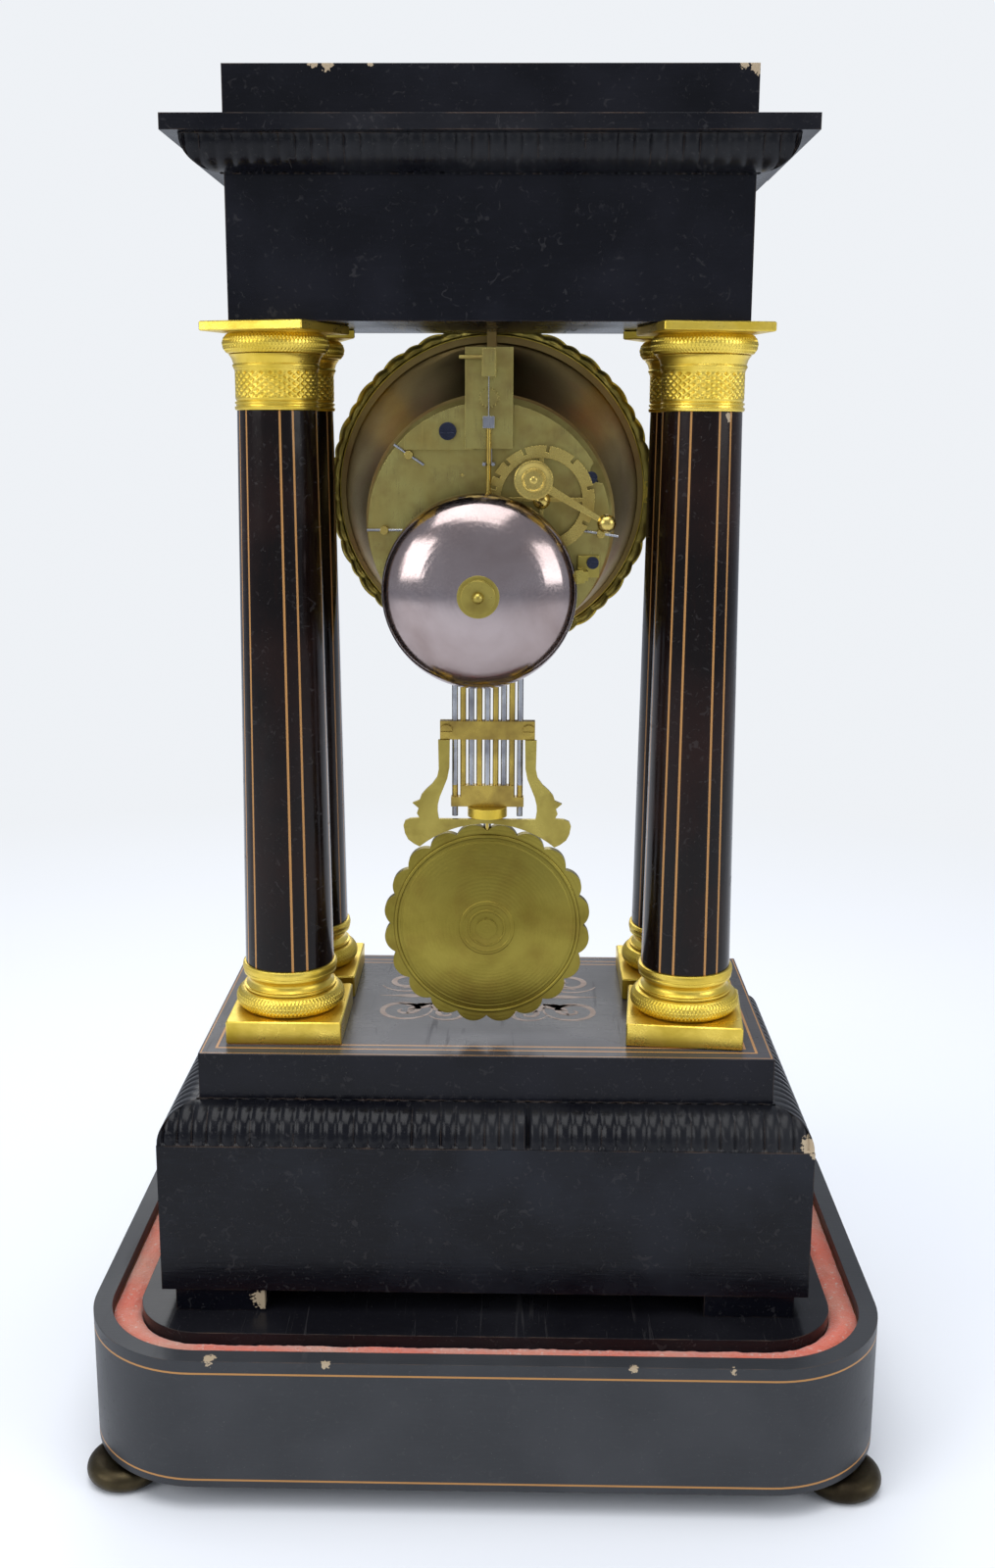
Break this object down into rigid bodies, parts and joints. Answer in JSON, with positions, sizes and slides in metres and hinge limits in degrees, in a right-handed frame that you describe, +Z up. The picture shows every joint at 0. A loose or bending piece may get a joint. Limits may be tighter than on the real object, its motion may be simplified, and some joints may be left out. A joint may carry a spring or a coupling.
{
  "type": "portico clock",
  "caption": "Column-case mantel clock on a grooved dome base, with a striking movement, bell, compensated pendulum and a hinged glazed dial.",
  "frame": {"origin": "on the ground under the middle of the dome base", "axes": "+Z up; the dial looks towards -Y, so the pictured back looks towards +Y; +X is on the right of someone facing the dial"},
  "size_m": [0.32, 0.222, 0.545],
  "materials": {
    "ebonised_wood": "ebonised and polished, worn",
    "felt": "faded red felt",
    "gilt_brass": "gilt, chased and tarnished",
    "brass": "polished, tarnished",
    "bell_metal": "silvery polished bell metal",
    "steel": "polished steel",
    "blued_steel": "blued",
    "enamel": "white enamel, glossy",
    "clear_glass": "clear"
  },
  "bodies": {
    "dome_base": {"dome_base_frame": "ebonised_wood", "dome_base_platform": "ebonised_wood", "dome_groove_felt": "felt", "bun_feet": "ebonised_wood"},
    "clock": {"block_feet": "ebonised_wood", "lower_box": "ebonised_wood", "lower_ripple_moulding": "ebonised_wood", "upper_plinth": "ebonised_wood", "column_tie_rods": "steel", "frieze_box": "ebonised_wood", "cornice_ripple_moulding": "ebonised_wood", "cornice_slab": "ebonised_wood", "top_block": "ebonised_wood", "dial_hanger": "blued_steel", "dial_surround": "gilt_brass", "dial_pan": "brass", "dial_plate": "enamel", "bezel_hinge_pin": "brass", "front_plate": "brass", "back_plate": "brass", "plate_pillars": "brass", "pillar_pins": "steel", "movement_screws": "blued_steel", "bell_stand": "brass", "bell": "bell_metal", "bell_nut": "brass", "suspension_cock": "brass", "column_base_back_left": "gilt_brass", "column_shaft_back_left": "ebonised_wood", "column_capital_back_left": "gilt_brass", "column_base_back_right": "gilt_brass", "column_shaft_back_right": "ebonised_wood", "column_capital_back_right": "gilt_brass", "column_base_front_left": "gilt_brass", "column_shaft_front_left": "ebonised_wood", "column_capital_front_left": "gilt_brass", "column_base_front_right": "gilt_brass", "column_shaft_front_right": "ebonised_wood", "column_capital_front_right": "gilt_brass"},
    "bezel": {"glass_bezel": "gilt_brass", "bezel_glass": "clear_glass"},
    "hour_hand": {"hour_hand": "blued_steel"},
    "centre_arbor": {"minute_hand": "blued_steel", "centre_wheel": "brass"},
    "minute_wheel": {"minute_wheel": "brass"},
    "going_barrel": {"going_barrel": "brass"},
    "intermediate_wheel": {"intermediate_wheel": "brass"},
    "third_wheel": {"third_wheel": "brass"},
    "escape_wheel": {"escape_wheel": "brass"},
    "pallet_arbor": {"pallet_arbor": "steel"},
    "strike_barrel": {"strike_barrel": "brass"},
    "count_wheel": {"count_wheel": "brass"},
    "pin_wheel": {"pin_wheel": "brass"},
    "fly": {"fly": "brass"},
    "hammer": {"hammer": "brass"},
    "pendulum": {"suspension_spring": "steel", "pendulum_gridiron": "steel", "pendulum_lyre": "gilt_brass", "pendulum_bob": "gilt_brass"},
    "rating_nut": {"rating_nut": "brass"}
  },
  "joints": [
    {"name": "clock_lift", "type": "slide", "parent": "dome_base", "child": "clock", "axis": [0, 0, 1], "range_m": [0, 0.3]},
    {"name": "bezel_hinge", "type": "hinge", "parent": "clock", "child": "bezel", "pos_m": [-0.0605, -0.05142, 0.3884], "axis": [0, 0, -1], "range_deg": [0, 100]},
    {"name": "minute_hand_turn", "type": "hinge", "parent": "clock", "child": "centre_arbor", "pos_m": [0, 0, 0.3884], "axis": [0, 1, 0], "continuous": true},
    {"name": "hour_hand_turn", "type": "hinge", "parent": "clock", "child": "hour_hand", "pos_m": [0, 0, 0.3884], "axis": [0, 1, 0], "continuous": true},
    {"name": "minute_wheel_turn", "type": "hinge", "parent": "clock", "child": "minute_wheel", "pos_m": [0, 0, 0.3764], "axis": [0, 1, 0], "continuous": true},
    {"name": "going_barrel_turn", "type": "hinge", "parent": "clock", "child": "going_barrel", "pos_m": [0.019, 0, 0.3678], "axis": [0, 1, 0], "continuous": true},
    {"name": "intermediate_wheel_turn", "type": "hinge", "parent": "clock", "child": "intermediate_wheel", "pos_m": [-0.00062, 0, 0.37401], "axis": [0, 1, 0], "continuous": true},
    {"name": "third_wheel_turn", "type": "hinge", "parent": "clock", "child": "third_wheel", "pos_m": [0.01054, 0, 0.39768], "axis": [0, 1, 0], "continuous": true},
    {"name": "escape_wheel_turn", "type": "hinge", "parent": "clock", "child": "escape_wheel", "pos_m": [0, 0, 0.4045], "axis": [0, 1, 0], "continuous": true},
    {"name": "count_wheel_turn", "type": "hinge", "parent": "clock", "child": "count_wheel", "pos_m": [-0.02051, 0, 0.38832], "axis": [0, 1, 0], "continuous": true},
    {"name": "strike_barrel_turn", "type": "hinge", "parent": "clock", "child": "strike_barrel", "pos_m": [-0.019, 0, 0.3678], "axis": [0, 1, 0], "continuous": true},
    {"name": "pin_wheel_turn", "type": "hinge", "parent": "clock", "child": "pin_wheel", "pos_m": [-0.0175, 0, 0.40485], "axis": [0, 1, 0], "continuous": true},
    {"name": "fly_turn", "type": "hinge", "parent": "clock", "child": "fly", "pos_m": [-0.0301, 0, 0.40455], "axis": [0, 1, 0], "continuous": true},
    {"name": "hammer_swing", "type": "hinge", "parent": "clock", "child": "hammer", "pos_m": [-0.0452, 0, 0.3802], "axis": [0, 1, 0], "range_deg": [-12, 0], "stiffness_Nm_per_rad": 0.02, "springref_deg": 20.05},
    {"name": "pendulum_swing", "type": "hinge", "parent": "clock", "child": "pendulum", "pos_m": [0, 0.03698, 0.436], "axis": [0, 1, 0], "range_deg": [-2.5, 2.5]},
    {"name": "crutch_swing", "type": "hinge", "parent": "clock", "child": "pallet_arbor", "pos_m": [0, 0, 0.41975], "axis": [0, 1, 0], "range_deg": [-4.8, 4.8]},
    {"name": "rating_nut_turn", "type": "hinge", "parent": "pendulum", "child": "rating_nut", "pos_m": [0, 0.03698, 0.2656], "axis": [0, 0, 1], "continuous": true}
  ],
  "couplings": [
    {"joint": "minute_hand_turn", "follows": "third_wheel_turn", "ratio": -0.083333},
    {"joint": "hour_hand_turn", "follows": "third_wheel_turn", "ratio": -0.0069444},
    {"joint": "minute_wheel_turn", "follows": "third_wheel_turn", "ratio": 0.027778},
    {"joint": "going_barrel_turn", "follows": "third_wheel_turn", "ratio": -0.0027778},
    {"joint": "intermediate_wheel_turn", "follows": "third_wheel_turn", "ratio": 0.016667},
    {"joint": "escape_wheel_turn", "follows": "third_wheel_turn", "ratio": -10.625},
    {"joint": "strike_barrel_turn", "follows": "count_wheel_turn", "ratio": -0.16667},
    {"joint": "pin_wheel_turn", "follows": "count_wheel_turn", "ratio": -6},
    {"joint": "fly_turn", "follows": "count_wheel_turn", "ratio": 36},
    {"joint": "crutch_swing", "follows": "pendulum_swing", "ratio": 1.9152}
  ]
}
